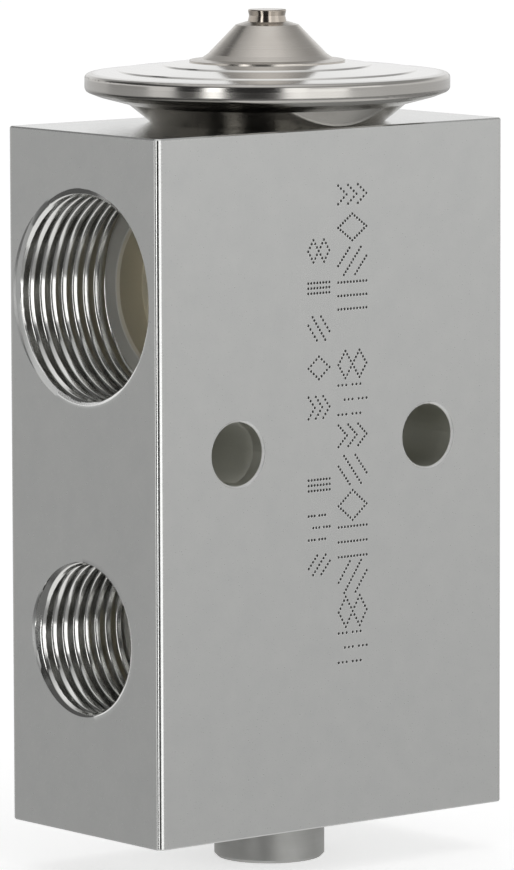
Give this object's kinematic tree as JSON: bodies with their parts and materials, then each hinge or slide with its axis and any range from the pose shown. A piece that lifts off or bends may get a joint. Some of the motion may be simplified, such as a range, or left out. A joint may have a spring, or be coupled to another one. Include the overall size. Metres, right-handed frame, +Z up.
{
  "type": "thermostatic expansion valve",
  "caption": "Block-type refrigerant expansion valve: a rectangular metal block with threaded ports, cross bolt holes, a round diaphragm head on top and an adjusting plug below.",
  "frame": {"origin": "on the surface it stands on, below the middle of the block, level with the adjusting plug's foot", "axes": "+Z up along the valve axis towards the diaphragm head; +X from the low inlet's port face to the outlet's port face; -Y out of the marked front"},
  "size_m": [0.049, 0.0404, 0.0945],
  "materials": {
    "block_aluminium": "satin, as extruded and milled",
    "bowl_steel": "fine turned",
    "lid_steel": "polished",
    "foil_steel": "rolled",
    "cone_steel": "satin turned",
    "stub_steel": "bright drawn",
    "plate_brass": "turned",
    "seal_rubber": "matt",
    "rod_aluminium": "turned",
    "pin_steel": "ground",
    "clip_steel": "pressed spring strip",
    "ball_steel": "ground and polished",
    "spring_steel": "drawn wire",
    "plug_steel": "turned"
  },
  "bodies": {
    "block": {"valve_body": "block_aluminium", "head_lower_cover": "bowl_steel", "head_upper_cover": "lid_steel", "diaphragm": "foil_steel", "charge_cone": "cone_steel", "charge_stub": "stub_steel", "head_oring": "seal_rubber", "rod_seal_oring": "seal_rubber", "rod_seal_retainer": "clip_steel", "superheat_spring": "spring_steel"},
    "valve_train": {"stop_plate": "plate_brass", "sensing_rod": "rod_aluminium", "push_pin": "pin_steel", "valve_ball": "ball_steel", "ball_carrier": "plate_brass", "damping_spring": "clip_steel"},
    "plug_seal": {"plug_oring": "seal_rubber"},
    "plug": {"adjusting_plug": "plug_steel"}
  },
  "joints": [
    {"name": "valve_lift", "type": "slide", "parent": "block", "child": "valve_train", "axis": [0, 0, -1], "range_m": [0, 0.0008], "stiffness_N_per_m": 2000, "deforming": ["superheat_spring", "diaphragm"]},
    {"name": "plug_travel", "type": "slide", "parent": "block", "child": "plug_seal", "axis": [0, 0, 1], "range_m": [-0.001, 0.001], "deforming": ["superheat_spring"]},
    {"name": "plug_turn", "type": "hinge", "parent": "plug_seal", "child": "plug", "pos_m": [0.0015, 0, 0], "axis": [0, 0, 1], "range_deg": [-360, 360]}
  ],
  "couplings": [
    {"joint": "plug_turn", "follows": "plug_travel", "rad_per_m": 6283.2}
  ]
}
